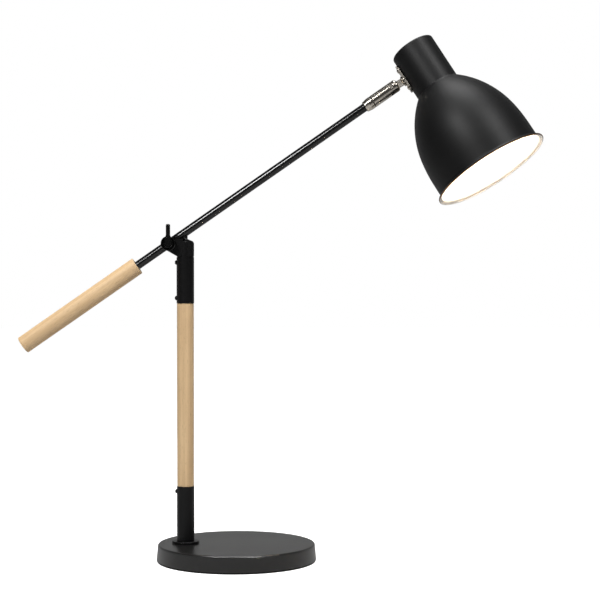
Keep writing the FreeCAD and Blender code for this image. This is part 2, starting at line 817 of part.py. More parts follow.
def knuckle_tongue():
    """Flat tongue with a round end on the hinge and a flared foot on the plate."""
    half = tongue_width / 2
    thick = tongue_thickness / 2
    foot_low = tongue_reach - tongue_foot_height
    flare_low = foot_low - tongue_flare
    blade = block(-half, half, -thick, thick, 0, flare_low + 0.5)
    blade = blade.fuse(bar(half, Vector(0, -thick, 0), Y, tongue_thickness))
    foot_radius = tongue_foot_diameter / 2
    foot = turned([(0, flare_low), (thick, flare_low), (foot_radius, foot_low),
                   (foot_radius, tongue_reach), (0, tongue_reach)])
    tongue = blade.fuse(foot)
    tongue = tongue.fuse(cylinder(tongue_spigot_diameter / 2, tongue_reach - 1,
                                  tongue_reach + plate_thickness - fit))
    tongue = tongue.cut(cylinder(core_radius + 0.2, -tongue_width, axis_offset))
    # the round end is forked, so that the core stays clear as the shade tilts
    clear = half + face_gap
    gap = tongue_slot_width / 2
    tongue = tongue.cut(block(-clear, clear, -gap, gap, -clear, tongue_slot_height))
    tip = hinge_tip_diameter / 2 + running_fit
    floor = thick - hinge_tip_depth - face_gap
    tongue = tongue.cut(bar(tip, Vector(0, floor, 0), Y, 10))
    tongue = tongue.cut(bar(tip, Vector(0, -floor, 0), -Y, 10))
    return placed(tongue.removeSplitter(), hinge_frame)


# ---- mounting plate and bracket, in the shade frame ----
def sector(inner, outer, low, high, width):
    """Part of a tube wall round the shade's axis, on the side of the knuckle."""
    wall = tube(outer, inner, low, high)
    return wall.common(block(0, outer + 1, -width / 2, width / 2, low, high))


def plate_screw_levels():
    return [-plate_screw_spacing / 2, plate_screw_spacing / 2]


def plate_screw_holes(radius):
    holes = [bar(radius, Vector(neck_radius / 2, 0, level), X, past) for level in plate_screw_levels()]
    return holes[0].fuse(holes[1])


def mounting_plate():
    """A flat plate with rounded ends, against the neck."""
    round_end = plate_width / 2
    straight = plate_length / 2 - round_end
    outer = plate_seat + plate_thickness
    plate = block(plate_seat, outer, -round_end, round_end, -straight, straight)
    ends = [bar(round_end, Vector(plate_seat, 0, level), X, plate_thickness)
            for level in (-straight, straight)]
    plate = plate.fuse(ends).removeSplitter()
    plate = plate.cut(plate_screw_holes(screw_diameter / 2 + fit))
    return placed(plate.cut(bar(tongue_spigot_diameter / 2 + fit, neck_entry, X, past)), shade_frame)


def plate_screws():
    seat = plate_seat + plate_thickness + fit
    screw = round_screw(screw_head_diameter / 2, plate_screw_head_height, screw_diameter / 2,
                        plate_screw_length)
    sides = [placed(screw, Placement(Vector(seat, 0, level), Rotation(Y, 90)))
             for level in plate_screw_levels()]
    return Part.makeCompound([placed(side, shade_frame) for side in sides])


def holder_bracket():
    """Angle bracket: a curved leg on the neck's wall, a shelf across the axis."""
    half = bracket_length / 2
    leg = sector(bracket_inner, bracket_radius, -half, half, bracket_width)
    shelf = block(0, bracket_radius, -bracket_width / 2, bracket_width / 2, -half,
                  -half + bracket_thickness)
    shelf = shelf.fuse(cylinder(bracket_width * 0.7, -half, -half + bracket_thickness))
    shelf = shelf.common(cylinder(bracket_radius, -half, half))
    shelf = shelf.cut(cylinder(nipple_diameter / 2 + fit, -half - 1, half))
    notch = bar(core_radius + core_play, Vector(core_run, 0, -half - 1), Z, half)
    bracket = leg.fuse(shelf.cut(notch)).cut(plate_screw_holes(screw_diameter / 2 + fit))
    return placed(bracket.cut(bar(core_radius + core_play, neck_entry, X, past)), shade_frame)


# ---- shade ----
def shade_side(offset):
    """Edges of the shade's wall from its lip to its closed back, at an inward offset.

    Points are (radius, distance back from the mouth): a flared lip, a short straight
    wall, two tangent arcs that draw the bell in, and the straight neck.
    """
    def spot(radius, back):
        return Vector(radius, 0, mouth_at - back)

    middle = body_radius - shade_wall / 2
    out = rim_radius - rim_bead - middle
    height = lip_height - rim_bead
    flare = (height ** 2 + out ** 2) / (2 * out)
    swing = math.atan2(height, flare - out)
    lip_radius = flare - shade_wall / 2 + offset
    lip_centre = middle + flare

    def lip(angle):
        return spot(lip_centre - lip_radius * math.cos(angle),
                    lip_height - lip_radius * math.sin(angle))

    wall = body_radius - offset
    body_bend = body_arc_radius - offset

    def body(angle):
        return spot(body_centre + body_bend * math.cos(angle),
                    body_straight_end + body_bend * math.sin(angle))

    bell_bend = bell_arc_radius - offset
    neck = neck_radius - offset
    close = math.acos((neck - bell_centre) / bell_bend)

    def bell(angle):
        return spot(bell_centre + bell_bend * math.cos(angle),
                    bell_level + bell_bend * math.sin(angle))

    edge = neck_edge_radius - offset
    back = shade_length - offset
    edge_from = spot(neck, back - edge)
    edge_mid = spot(neck - edge + edge * math.cos(math.radians(45)),
                    back - edge + edge * math.sin(math.radians(45)))
    edge_to = spot(neck - edge, back)
    return [arc(lip(swing), lip(swing / 2), lip(0)),
            line(lip(0), spot(wall, body_straight_end)),
            arc(body(0), body(body_sweep / 2), body(body_sweep)),
            arc(bell(body_sweep), bell((body_sweep + close) / 2), bell(close)),
            line(bell(close), edge_from),
            arc(edge_from, edge_mid, edge_to),
            line(edge_to, spot(0, back))]


def shade_shell():
    """Spun steel bell with a rolled bead round its mouth and a closed neck."""
    outer = shade_side(0.0)
    inner = shade_side(shade_wall)
    lip_edge = line(outer[0].Vertexes[0].Point, inner[0].Vertexes[0].Point)
    crown = line(Vector(0, 0, mouth_at - shade_length),
                 Vector(0, 0, mouth_at - shade_length + shade_wall))
    wires = Part.Wire(Part.__sortEdges__(outer + [crown] + inner + [lip_edge]))
    shell = Part.Face(wires).revolve(ORIGIN, Z, 360)
    waist = [e for e in shell.Edges if e.Curve.TypeId == "Part::GeomCircle"
             and abs(e.Curve.Radius - neck_radius) < 1e-4
             and e.BoundBox.ZMin > mouth_at - shade_length + neck_edge_radius + 1]
    shell = shell.makeFillet(bell_fillet, waist)
    bead = Part.makeTorus(rim_radius - rim_bead, rim_bead, Vector(0, 0, mouth_at - rim_bead))
    shell = shell.fuse(bead)
    shell = shell.cut(plate_screw_holes(screw_diameter / 2 + fit))
    return placed(shell.cut(bar(core_radius + core_play, neck_entry, X, past)), shade_frame)


# ---- lampholder, in the shade frame ----
def shelf_level():
    return -bracket_length / 2


def holder_top():
    return shelf_level() + bracket_thickness


def holder_nipple():
    low = shelf_level() - holder_nut_thickness - 0.5
    return placed(tube(nipple_diameter / 2, nipple_bore / 2, low, low + nipple_length), shade_frame)


def holder_nut():
    nut = hexagon(holder_nut_across_flats, shelf_level() - holder_nut_thickness, shelf_level())
    nut = nut.cut(cylinder(nipple_diameter / 2 + fit, -past, past))
    return placed(nut, shade_frame)


def holder_cap():
    """Moulded cap of the lampholder, screwed on the nipple."""
    top = holder_top()
    low = top + holder_cap_height
    radius = holder_cap_diameter / 2
    bore = nipple_diameter / 2 + fit
    shoulder = top + holder_cap_height * 0.4
    profile = [(bore, top), (radius * 0.55, top), (radius, shoulder), (radius, low),
               (radius - holder_wall, low), (radius - holder_wall, shoulder + 0.5),
               (radius * 0.55, top + holder_wall + 1), (bore, top + holder_wall + 1)]
    return placed(turned(profile), shade_frame)


def holder_body():
    """Moulded skirt of the lampholder with a ribbed shoulder and a contact floor."""
    top = holder_top() + holder_cap_height
    radius = holder_diameter / 2
    low = top + holder_length
    bore = holder_bore / 2
    neck = holder_cap_diameter / 2
    profile = [(0, top), (neck, top), (radius, top + 3), (radius, top + 7), (radius - 1, top + 8),
               (radius - 1, low - 4), (radius, low - 3), (radius, low), (bore, low),
               (bore, top + holder_floor), (0, top + holder_floor)]
    body = turned(profile)
    side_hole = nipple_bore / 2
    holes = [cylinder(core_radius, top - 1, top + holder_floor + 1, x * side_hole, 0) for x in (-2, 2)]
    return placed(body.cut(holes[0]).cut(holes[1]), shade_frame)


def contact_floor():
    return holder_top() + holder_cap_height + holder_floor


def holder_contacts():
    """A sprung centre contact and a side contact."""
    floor = contact_floor() + fit
    half = contact_width / 2
    thick = contact_thickness
    centre = block(-half * 2, half * 2, -half, half, floor, floor + thick)
    leaf = block(-half, half, -half, half, floor + thick, floor + contact_rise)
    leaf = leaf.cut(block(-half + thick, half + 1, -half - 1, half + 1, floor + thick,
                          floor + contact_rise - thick))
    wall = holder_bore / 2 - fit
    side = sector(wall - thick, wall, floor, floor + holder_length / 3, contact_width)
    return Part.makeCompound([placed(centre.fuse(leaf), shade_frame), placed(side, shade_frame)])


# ---- lamp ----
def lamp_tip():
    return contact_floor() + contact_rise + 2 * fit


def bulb_cap():
    """Metal screw cap with its centre contact."""
    tip = lamp_tip()
    radius = cap_diameter / 2
    button = cap_tip_diameter / 2
    profile = [(0, tip), (button, tip), (button, tip + 1), (radius - 1.5, tip + cap_taper),
               (radius, tip + cap_taper + 0.5), (radius, tip + cap_length), (0, tip + cap_length)]
    return placed(turned(profile), shade_frame)


def bulb_outline():
    """Heights of the lamp's seam and crown, and its radius at the seam."""
    seam = lamp_tip() + cap_length + bulb_body_length
    crown = lamp_tip() + bulb_length
    full = bulb_diameter / 2
    drop = crown - full - seam
    return seam, crown, math.sqrt(full ** 2 - drop ** 2)


def bulb_body():
    """Moulded body of the lamp, swelling from the cap to the dome."""
    low = lamp_tip() + cap_length
    seam, crown, wide = bulb_outline()
    neck = cap_diameter / 2 + bulb_lip
    start = Vector(neck, 0, low)
    ease = Vector(neck, 0, low + bulb_body_length * 0.18)
    end = Vector(wide, 0, seam)
    through = Vector(neck + (wide - neck) * 0.36, 0, low + bulb_body_length * 0.57)
    edges = [line(Vector(0, 0, low), start), line(start, ease), arc(ease, through, end),
             line(end, Vector(0, 0, seam)), line(Vector(0, 0, seam), Vector(0, 0, low))]
    return placed(Part.Face(Part.Wire(edges)).revolve(ORIGIN, Z, 360), shade_frame)


def bulb_dome():
    """Opal dome of the lamp."""
    seam, crown, wide = bulb_outline()
    full = bulb_diameter / 2
    centre = crown - full
    sweep = math.acos((seam - centre) / full)
    through = Vector(full * math.sin(sweep / 2), 0, centre + full * math.cos(sweep / 2))
    edges = [line(Vector(0, 0, seam), Vector(wide, 0, seam)),
             arc(Vector(wide, 0, seam), through, Vector(0, 0, crown)),
             line(Vector(0, 0, crown), Vector(0, 0, seam))]
    dome = Part.Face(Part.Wire(edges)).revolve(ORIGIN, Z, 360)
    return placed(dome.cut(Part.makeSphere(full - bulb_wall, Vector(0, 0, centre))), shade_frame)


PIECES = [base_cover, base_weight, base_pad, base_washer, base_nut, cord_bush, post_stud,
          post_foot, lower_sleeve, post_dowel, upper_sleeve, sleeve_screws, head_fork,
          pivot_bolt, knob_washer, knob_nut, clamp_knob, post_lead, pivot_lead, arm_lead,
          shade_lead, arm_rod, saddle_washers, counterweight, weight_core, weight_bush,
          knuckle_collar, collar_screw, swivel_washer, swivel_stud, knuckle_barrel,
          barrel_ring, hinge_screws, knuckle_tongue, mounting_plate, plate_screws,
          shade_shell, holder_bracket, holder_nipple, holder_nut, holder_cap, holder_body,
          holder_contacts, bulb_cap, bulb_body, bulb_dome]

os.makedirs("parts", exist_ok=True)
for piece in PIECES:
    shape = piece()
    shape.exportStep("parts/" + piece.__name__ + ".step")
    print(piece.__name__, len(shape.Solids), round(shape.Volume, 1), shape.isValid())
print("pivot", pivot, "hinge", hinge_frame.Base, "rod", arm_frame.Rotation.multVec(Z))
print("hinge axis", hinge_frame.Rotation.multVec(Y), "shade axis", shade_frame.Rotation.multVec(Z))
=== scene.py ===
"""Looks of the counterweight balance desk lamp, built round its packed CAD part.

One operator per group of pieces and one for the studio, each with its sizes and colours
in a property group, and a panel that runs them. All sizes are in metres.
"""

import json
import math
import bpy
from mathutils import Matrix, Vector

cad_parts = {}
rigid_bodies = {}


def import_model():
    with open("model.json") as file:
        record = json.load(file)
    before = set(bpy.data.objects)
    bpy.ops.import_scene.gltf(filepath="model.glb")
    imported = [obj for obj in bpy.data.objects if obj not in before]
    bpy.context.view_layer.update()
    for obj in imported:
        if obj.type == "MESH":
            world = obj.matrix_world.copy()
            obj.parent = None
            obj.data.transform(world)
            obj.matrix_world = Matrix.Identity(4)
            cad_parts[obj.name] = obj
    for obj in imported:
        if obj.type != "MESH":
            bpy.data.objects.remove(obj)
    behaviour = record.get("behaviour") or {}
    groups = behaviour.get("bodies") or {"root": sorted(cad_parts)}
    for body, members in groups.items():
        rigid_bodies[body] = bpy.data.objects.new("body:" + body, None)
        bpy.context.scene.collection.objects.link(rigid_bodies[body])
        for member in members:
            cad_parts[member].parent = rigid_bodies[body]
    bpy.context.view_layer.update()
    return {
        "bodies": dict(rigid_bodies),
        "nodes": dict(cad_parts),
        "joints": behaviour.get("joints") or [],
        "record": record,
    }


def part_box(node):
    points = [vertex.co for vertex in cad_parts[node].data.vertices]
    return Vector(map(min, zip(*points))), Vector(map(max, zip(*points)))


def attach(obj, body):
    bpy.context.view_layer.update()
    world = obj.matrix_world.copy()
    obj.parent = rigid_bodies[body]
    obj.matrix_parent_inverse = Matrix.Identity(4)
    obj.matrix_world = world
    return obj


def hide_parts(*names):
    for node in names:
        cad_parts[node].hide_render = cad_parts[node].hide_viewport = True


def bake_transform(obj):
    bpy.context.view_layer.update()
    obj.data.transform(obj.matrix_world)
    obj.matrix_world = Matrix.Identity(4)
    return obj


bl_info = {
    "name": "Balance desk lamp",
    "version": (1, 0, 0),
    "blender": (4, 5, 0),
    "location": "3D View > Sidebar > Lamp",
    "description": "Finishes and studio of a counterweight balance desk lamp",
    "category": "Object",
}

import bpy
from bpy.props import FloatProperty, FloatVectorProperty, IntProperty, PointerProperty
from mathutils import Matrix, Vector

FRAME = {}

# ---- directions of the rest pose ----
ARM_ANGLE = math.radians(34.8)
ROD_AXIS = Vector((math.cos(ARM_ANGLE), 0.0, math.sin(ARM_ANGLE)))
PIVOT = Vector((-0.079, 0.0, 0.3738))
POST_AXIS = Vector((-0.060, 0.0, 0.0))
SHADE_AXIS = Vector((0.50435, -0.249965, -0.826528))
HINGE_AXIS = Vector((0.142895, 0.968148, -0.205599))
HINGE = Vector((0.182618, 0.0, 0.555629))
SHADE_OUT = SHADE_AXIS.cross(HINGE_AXIS)

# ---- the shade: its axis seen from the hinge, and its mouth along that axis ----
HINGE_TO_AXIS = 0.04575
HINGE_TO_FOOT = 0.0015
SHADE_FOOT = HINGE + SHADE_OUT * HINGE_TO_AXIS - SHADE_AXIS * HINGE_TO_FOOT
MOUTH_AT = 0.14917


# ---- shader maths ----
class Wire:
    """A number in a shader: arithmetic on it adds Math nodes."""

    def __init__(self, tree, socket):
        self.tree = tree
        self.socket = socket

    def math(self, operation, *others):
        """The operation with this number first."""
        node = self.tree.nodes.new("ShaderNodeMath")
        node.operation = operation
        for slot, value in zip(node.inputs, (self,) + others):
            if isinstance(value, Wire):
                self.tree.links.new(value.socket, slot)
            else:
                slot.default_value = value
        return Wire(self.tree, node.outputs[0])

    def _swapped(self, operation, other):
        """The operation with a plain number first and this one second."""
        node = self.tree.nodes.new("ShaderNodeMath")
        node.operation = operation
        node.inputs[0].default_value = other
        self.tree.links.new(self.socket, node.inputs[1])
        return Wire(self.tree, node.outputs[0])

    def __add__(self, other):
        return self.math("ADD", other)

    def __sub__(self, other):
        return self.math("SUBTRACT", other)

    def __rsub__(self, other):
        return self._swapped("SUBTRACT", other)

    def __mul__(self, other):
        return self.math("MULTIPLY", other)

    def __rmul__(self, other):
        return self._swapped("MULTIPLY", other)

    def __truediv__(self, other):
        return self.math("DIVIDE", other)

    def clamp(self):
        return self.math("MAXIMUM", 0.0).math("MINIMUM", 1.0)

    def ramp(self, low, high):
        """0 below low, 1 above high, smooth between."""
        part = ((self - low) / (high - low)).clamp()
        return part * part * (3.0 - 2.0 * part)


class Nodes:
    """The nodes that feed one shader."""

    def __init__(self, tree, shader):
        self.tree = tree
        self.shader = shader

    def node(self, kind, settings=None, values=None, output=0):
        """Adds a node: its settings, then its inputs by name or place, as values or links."""
        node = self.tree.nodes.new(kind)
        for key, value in (settings or {}).items():
            setattr(node, key, value)
        for key, value in (values or {}).items():
            if isinstance(key, int):
                slot = node.inputs[key]
            else:
                slot = next(s for s in node.inputs if s.enabled and s.name == key)
            if isinstance(value, Wire):
                self.tree.links.new(value.socket, slot)
            else:
                slot.default_value = value
        sockets = [s for s in node.outputs if s.enabled]
        return Wire(self.tree, sockets[output])

    def feed(self, name, value):
        """Links a value to one of the shader's inputs."""
        self.tree.links.new(value.socket, self.shader.inputs[name])

    def place(self):
        """The point in the row frame at rest."""
        return self.node("ShaderNodeTexCoord", output=3)

    def facing(self):
        """The surface's direction in the row frame at rest."""
        return self.node("ShaderNodeTexCoord", output=1)

    def vector(self, operation, a, b=None, scale=None):
        """Vector arithmetic on one or two vectors, or on a vector and a number."""
        values = {0: a}
        if b is not None:
            values[1] = b
        if scale is not None:
            values["Scale"] = scale
        return self.node("ShaderNodeVectorMath", {"operation": operation}, values)

    def dot(self, a, b):
        return self.vector("DOT_PRODUCT", a, tuple(b) if isinstance(b, Vector) else b)

    def camera_ray(self):
        """1 where the camera looks at it, 0 in reflections and bounced light."""
        return self.node("ShaderNodeLightPath")

    def local(self, origin, along):
        """Distances from an origin along an axis and along two directions across it."""
        offset = self.vector("SUBTRACT", self.place(), tuple(origin))
        side = along.orthogonal().normalized()
        other = along.cross(side)
        return self.dot(offset, along), self.dot(offset, side), self.dot(offset, other)

    def join(self, x, y, z):
        return self.node("ShaderNodeCombineXYZ", values={"X": x, "Y": y, "Z": z})

    def noise(self, point, scale, detail=2.0, roughness=0.5):
        values = {"Vector": point, "Scale": scale, "Detail": detail, "Roughness": roughness}
        return self.node("ShaderNodeTexNoise", {"noise_dimensions": "3D"}, values)

    def mix(self, factor, a, b):
        """A colour between a and b."""
        return self.node("ShaderNodeMix", {"data_type": "RGBA"}, {"Factor": factor, "A": a, "B": b})

    def bump(self, height, distance, strength):
        values = {"Strength": strength, "Distance": distance, "Height": height}
        self.feed("Normal", self.node("ShaderNodeBump", values=values))


class Finish(Nodes):
    """A material with one Principled shader and the nodes that vary it."""

    def __init__(self, name, **constants):
        self.material = bpy.data.materials.new(name)
        self.material.use_nodes = True
        tree = self.material.node_tree
        super().__init__(tree, tree.nodes["Principled BSDF"])
        for key, value in constants.items():
            self.shader.inputs[key.replace("_", " ")].default_value = value


def rgba(colour, factor=1.0):
    return tuple(min(1.0, c * factor) for c in colour) + (1.0,)


def grey(level):
    return (level, level, level, 1.0)


# ---- finishes ----
def powder_coat(name, colour, roughness, grain=0.00004, shine=0.28):
    """Satin coat: a fine orange peel and slightly uneven gloss."""
    coat = Finish(name, Specular_IOR_Level=shine)
    point = coat.place()
    cloud = coat.noise(point, 14.0, 3.0)
    coat.feed("Base Color", coat.mix(cloud.ramp(0.3, 0.7), rgba(colour, 0.9), rgba(colour, 1.12)))
    coat.feed("Roughness", cloud * 0.06 + (roughness - 0.03))
    peel = coat.noise(point, 1400.0, 2.0, 0.6)
    coat.bump(peel, grain, 0.35)
    return coat


def sheet_metal(name, colour, roughness, metallic=1.0, wear=0.05, scale=90.0):
    """Plated or bare metal with a soft cloud in its gloss."""
    metal = Finish(name, Metallic=metallic)
    point = metal.place()
    cloud = metal.noise(point, scale, 4.0, 0.6)
    tone = cloud.ramp(0.3, 0.7)
    metal.feed("Base Color", metal.mix(tone, rgba(colour, 0.92), rgba(colour, 1.06)))
    metal.feed("Roughness", cloud * wear * 2 + (roughness - wear))
    metal.bump(metal.noise(point, 900.0, 2.0), 0.00002, 0.25)
    return metal


def turned_metal(name, colour, roughness, origin, along, ring=0.00022):
    """Satin plate over turned metal: fine rings round the axis."""
    metal = Finish(name, Metallic=1.0)
    height, left, right = metal.local(origin, along)
    rings = metal.noise(metal.join(left * 6.0, right * 6.0, height / ring * 0.35), 1.0, 3.0, 0.7)
    cloud = metal.noise(metal.place(), 120.0, 3.0)
    tone = (rings * 0.6 + cloud * 0.4).ramp(0.3, 0.7)
    metal.feed("Base Color", metal.mix(tone, rgba(colour, 0.95), rgba(colour, 1.03)))
    metal.feed("Roughness", rings * 0.05 + (roughness - 0.02))
    metal.bump(rings, 0.000004, 0.1)
    return metal


def cast_metal(name, colour, roughness):
    """Sand-cast surface."""
    metal = Finish(name, Metallic=0.6)
    point = metal.place()
    grit = metal.noise(point, 420.0, 5.0, 0.7)
    cloud = metal.noise(point, 25.0, 3.0)
    metal.feed("Base Color", metal.mix(cloud.ramp(0.3, 0.7), rgba(colour, 0.7), rgba(colour, 1.2)))
    metal.feed("Roughness", grit * 0.15 + (roughness - 0.07))
    metal.bump(grit, 0.0002, 0.5)
    return metal


def moulded(name, colour, roughness, grain=0.00002):
    """Moulded plastic or rubber."""
    plastic = Finish(name)
    point = plastic.place()
    cloud = plastic.noise(point, 60.0, 2.0)
    plastic.feed("Base Color", plastic.mix(cloud, rgba(colour, 0.92), rgba(colour, 1.08)))
    plastic.feed("Roughness", cloud * 0.06 + (roughness - 0.03))
    plastic.bump(plastic.noise(point, 1100.0, 2.0), grain, 0.3)
    return plastic


def timber(name, light, dark, roughness, origin, along, seed, ends):
    """Fine straight grain along an axis, with short pores and paler cut ends."""
    wood = Finish(name)
    height, left, right = wood.local(origin, along)
    shift = seed * 1.7
    wander = wood.noise(wood.join(height * 5.0 + shift, left * 20.0, right * 20.0), 1.0, 2.0) - 0.5
    across = left + wander * 0.004
    broad = wood.join(height * 4.0 + shift, across * 260.0, right * 120.0)
    bands = wood.noise(broad, 1.0, 3.0, 0.6)
    fine = wood.join(height * 14.0, across * 900.0, right * 900.0 + shift)
    streaks = wood.noise(fine, 1.0, 2.0, 0.6)
    pores = wood.noise(wood.join(height * 190.0 + shift, left * 1900.0, right * 1900.0), 1.0, 1.0)
    pore = pores.ramp(0.63, 0.72)
    patch = wood.noise(wood.join(height * 16.0, left * 60.0 + shift, right * 60.0), 1.0, 2.0)
    tone = (bands * 0.55 + streaks * 0.25 + patch * 0.3 - 0.05).ramp(0.32, 0.72)
    base = wood.mix(tone, rgba(dark), rgba(light))
    flecked = wood.mix(pore * 0.45, base, rgba(dark, 0.62))
    cap = wood.dot(wood.facing(), along).math("ABSOLUTE").ramp(0.6, 0.9)
    rings = wood.noise(wood.join(left * 500.0, right * 160.0, shift), 1.0, 3.0)
    end_tone = wood.mix(rings.ramp(0.3, 0.7), rgba(ends, 0.92), rgba(ends, 1.04))
    wood.feed("Base Color", wood.mix(cap, flecked, end_tone))
    wood.feed("Roughness", streaks * 0.12 + pore * 0.1 + (roughness - 0.06))
    wood.bump(streaks * 0.6 - pore, 0.00004, 0.5)
    return wood


def bell_coat(name, settings):
    """Satin black outside, white enamel inside, and a painted warm glow of the lamp's light on the
    bead where the two meet.

    Outside and inside are told apart by whether the surface looks away from the shade's axis,
    and the closed end of the neck by whether it looks along it.
    """
    coat = Finish(name, Specular_IOR_Level=0.26)
    point = coat.place()
    offset = coat.vector("SUBTRACT", point, tuple(SHADE_FOOT))
    along = coat.dot(offset, SHADE_AXIS)
    axial = coat.vector("SCALE", tuple(SHADE_AXIS), scale=along)
    across = coat.vector("NORMALIZE", coat.vector("SUBTRACT", offset, axial))
    normal = coat.facing()
    outward = coat.dot(normal, across)
    forward = coat.dot(normal, SHADE_AXIS)
    wall = (outward * -1.0).ramp(-0.1, 0.1) * forward.ramp(-0.9, -0.6)
    bead = along.ramp(MOUTH_AT - settings.bead_start, MOUTH_AT - settings.bead_full)
    crest = (forward - outward * 0.35).ramp(0.55, 0.8)
    # painted light: mask for the lamp's warm glow on the bead's faces that look toward the mouth
    # and the axis
    glow = (forward - outward * 0.35).ramp(-0.25, 0.45)
    back = forward.ramp(0.5, 0.8) * (1.0 - along.ramp(0.0, 0.01))
    inside = (wall * (1.0 - bead) + bead * crest + back).clamp()
    cloud = coat.noise(point, 14.0, 3.0)
    black = coat.mix(cloud.ramp(0.3, 0.7), rgba(settings.black, 0.9), rgba(settings.black, 1.12))
    # painted glow: the lamp's warm light painted as a colour onto the black bead
    edge = coat.mix(bead * glow, black, rgba(settings.painted_lamp_glow))
    coat.feed("Base Color", coat.mix(inside, edge, rgba(settings.enamel)))
    coat.feed("Roughness", cloud * 0.06 + (settings.shade_roughness - 0.03) - inside * 0.1)
    coat.bump(coat.noise(point, 1400.0, 2.0, 0.6), 0.00004, 0.35)
    return coat


def opal(name, settings):
    """Glowing diffuser."""
    glass = Finish(name, Roughness=0.3)
    point = glass.place()
    cloud = glass.noise(point, 30.0, 2.0)
    glass.feed("Base Color", glass.mix(cloud, rgba(settings.opal_dark), rgba(settings.opal_light)))
    glass.feed("Emission Color", glass.mix(cloud, rgba(settings.lamp), rgba(settings.lamp, 1.02)))
    glass.shader.inputs["Emission Strength"].default_value = settings.glow
    return glass


def paint(finish, *names):
    """Gives CAD nodes a finish."""
    for name in names:
        mesh = FRAME["nodes"][name].data
        mesh.materials.clear()
        mesh.materials.append(finish.material)


# ---- meshes ----
def grid_mesh(name, rings):
    """A closed mesh through rings of points, joined in order, with a flat face at each end."""
    count = len(rings[0])
    points = [p for ring in rings for p in ring]
    faces = []
    for i in range(len(rings) - 1):
        low = i * count
        high = low + count
        faces += [(low + j, low + (j + 1) % count, high + (j + 1) % count, high + j)
                  for j in range(count)]
    faces.append(tuple(reversed(range(count))))
    faces.append(tuple(range(len(points) - count, len(points))))
    mesh = bpy.data.meshes.new(name)
    mesh.from_pydata([tuple(p) for p in points], [], faces)
    mesh.validate()
    for polygon in mesh.polygons:
        polygon.use_smooth = len(polygon.vertices) == 4
    piece = bpy.data.objects.new(name, mesh)
    bpy.context.scene.collection.objects.link(piece)
    return piece


def ring_of(centre, along, radius, sides):
    """Points round a circle across an axis."""
    side = Vector((0.0, 1.0, 0.0))
    side = (side - along * side.dot(along)).normalized()
    other = along.cross(side)
    turns = [2 * math.pi * i / sides for i in range(sides)]
    return [centre + side * (radius * math.cos(t)) + other * (radius * math.sin(t)) for t in turns]


def domed_screw(name, seat, out, turn, height, settings):
    """A domed head with a cross recess, a fine grid pushed in where the recess is."""
    side = Matrix.Rotation(turn, 3, out) @ out.orthogonal().normalized()
    other = out.cross(side)
    radius = settings.head_radius
    sphere = (radius ** 2 + height ** 2) / (2 * height)
    arm = radius * settings.recess_reach
    half = radius * settings.recess_width / 2
    depth = height * settings.recess_depth
    turns = [2 * math.pi * j / settings.sides for j in range(settings.sides)]
    rings = [[seat + side * (radius * math.cos(t)) + other * (radius * math.sin(t))
              - out * settings.sink for t in turns]]
    for i in range(settings.recess_steps + 1):
        r = max(radius * (1.0 - i / settings.recess_steps), radius * settings.crown)
        ring = []
        for t in turns:
            x = r * math.cos(t)
            y = r * math.sin(t)
            rise = math.sqrt(max(sphere ** 2 - r ** 2, 0.0)) - (sphere - height)
            in_x = abs(y) < half and abs(x) < arm
            in_y = abs(x) < half and abs(y) < arm
            if in_x or in_y:
                rise = max(rise - depth, height * settings.recess_floor)
            ring.append(seat + side * x + other * y + out * rise)
        rings.append(ring)
    return grid_mesh(name, rings)


# ---- properties ----
def colour(name, text, value):
    return FloatVectorProperty(name=name, description=text, default=value, size=3,
                               subtype="COLOR", min=0.0, max=1.0)


def share(name, text, value):
    return FloatProperty(name=name, description=text, default=value, min=0.0, max=1.0)


def length(name, text, value):
    return FloatProperty(name=name, description=text, default=value, min=0.0, unit="LENGTH",
                         precision=5)


def place(name, text, value):
    return FloatVectorProperty(name=name, description=text, default=value, size=3,
                               subtype="TRANSLATION", unit="LENGTH")


class LampColours(bpy.types.PropertyGroup):
    """Colours and gloss of the lamp's finishes."""

    black: colour("Black", "Powder coat of the metal pieces", (0.0035, 0.0035, 0.0037))
    base_black: colour("Base black", "Powder coat of the base", (0.0065, 0.0062, 0.0058))
    knob_black: colour("Knob black", "Enamel of the clamp knob", (0.004, 0.004, 0.004))
    # painted light: the lamp's warm glow on the bead, given as a colour
    painted_lamp_glow: colour("Amber", "Bead of the shade next to the enamel", (0.32, 0.16, 0.06))
    enamel: colour("Enamel", "Inside of the shade", (0.9, 0.89, 0.87))
    wood_light: colour("Light wood", "Light tone of the wood", (0.82, 0.585, 0.33))
    wood_dark: colour("Dark wood", "Dark tone of the wood", (0.67, 0.45, 0.243))
    wood_ends: colour("Wood ends", "Cut ends of the wood", (0.80, 0.575, 0.35))
    nickel: colour("Nickel", "Plate of the knuckle", (0.60, 0.555, 0.49))
    zinc: colour("Zinc", "Plate of the inner steel pieces", (0.60, 0.61, 0.63))
    iron: colour("Iron", "Casting of the weight", (0.08, 0.08, 0.085))
    brass: colour("Brass", "Bare brass", (0.72, 0.52, 0.24))
    lamp: colour("Lamp", "Light of the lamp", (1.0, 0.80, 0.56))
    glow: FloatProperty(name="Glow", description="Strength of the lamp", default=40.0, min=0.0)
    lamp_body: colour("Lamp body", "Moulded body of the lamp", (0.85, 0.84, 0.82))
    opal_dark: colour("Dark opal", "Dark tone of the diffuser", (0.9, 0.88, 0.84))
    opal_light: colour("Light opal", "Light tone of the diffuser", (0.95, 0.93, 0.9))
    core: colour("Core", "Lead without its sheath", (0.6, 0.6, 0.58))
    bead_start: length("Bead start", "Distance from the mouth where the bead starts", 0.0042)
    bead_full: length("Bead full", "Distance from the mouth where it is all bead", 0.0034)
    coat_roughness: share("Coat roughness", "Roughness of the powder coat", 0.36)
    rod_roughness: share("Rod roughness", "Roughness of the arm's tube", 0.2)
    base_roughness: share("Base roughness", "Roughness of the base", 0.33)
    shade_roughness: share("Shade roughness", "Roughness of the shade", 0.5)
    wood_roughness: share("Wood roughness", "Roughness of the wood", 0.52)
    nickel_roughness: share("Nickel roughness", "Roughness of the nickel", 0.2)


